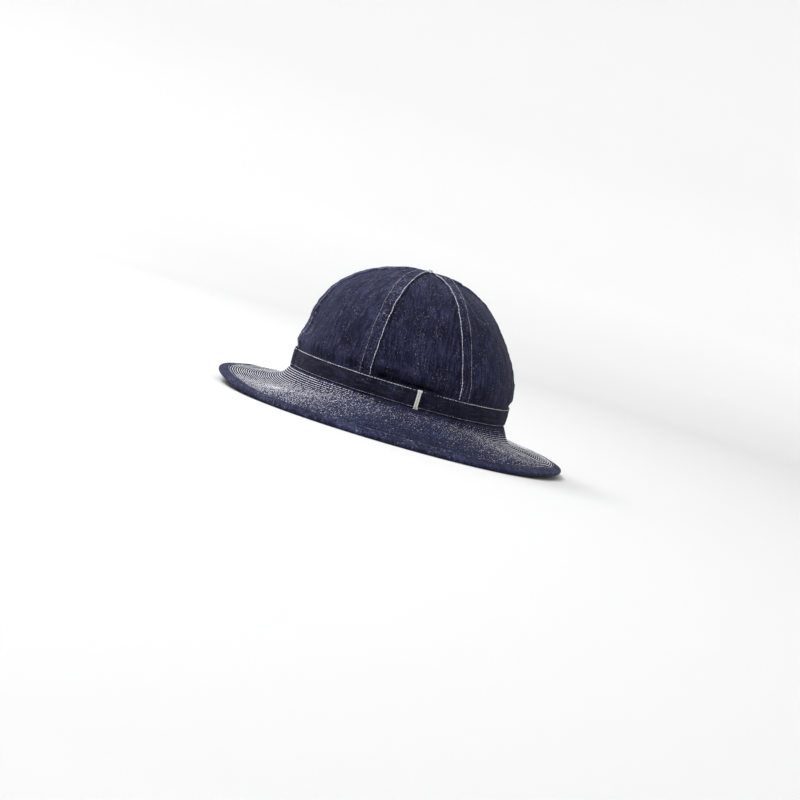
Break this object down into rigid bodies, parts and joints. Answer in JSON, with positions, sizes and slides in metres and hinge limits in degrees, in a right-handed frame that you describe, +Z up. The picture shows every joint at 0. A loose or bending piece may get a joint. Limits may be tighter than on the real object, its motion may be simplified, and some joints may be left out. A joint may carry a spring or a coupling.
{
  "type": "denim army hat",
  "caption": "Soft denim hat with a domed crown of sewn panels, a cloth band with a small tape loop, and a wide drooping brim quilted with rows of white stitching.",
  "frame": {"origin": "middle of the hat's box, on the surface that the sides of the brim rest on", "axes": "+Z up, -Y towards the front of the hat, +X towards the wearer's left, where the tape loop is"},
  "size_m": [0.2928, 0.3365, 0.1505],
  "materials": {
    "indigo_denim": "matte indigo denim with slub streaks",
    "band_denim": "matte, nearly black indigo denim",
    "cotton_tape": "off-white cotton tape",
    "stitched_denim": "indigo denim under close rows of white thread",
    "binding_denim": "matte dark indigo denim"
  },
  "bodies": {
    "root": {"crown_front_left": "indigo_denim", "crown_side_left": "indigo_denim", "crown_rear_left": "indigo_denim", "crown_rear_right": "indigo_denim", "crown_side_right": "indigo_denim", "crown_front_right": "indigo_denim", "hat_band": "band_denim", "band_loop": "cotton_tape", "brim": "stitched_denim", "brim_binding": "binding_denim"}
  },
  "joints": []
}
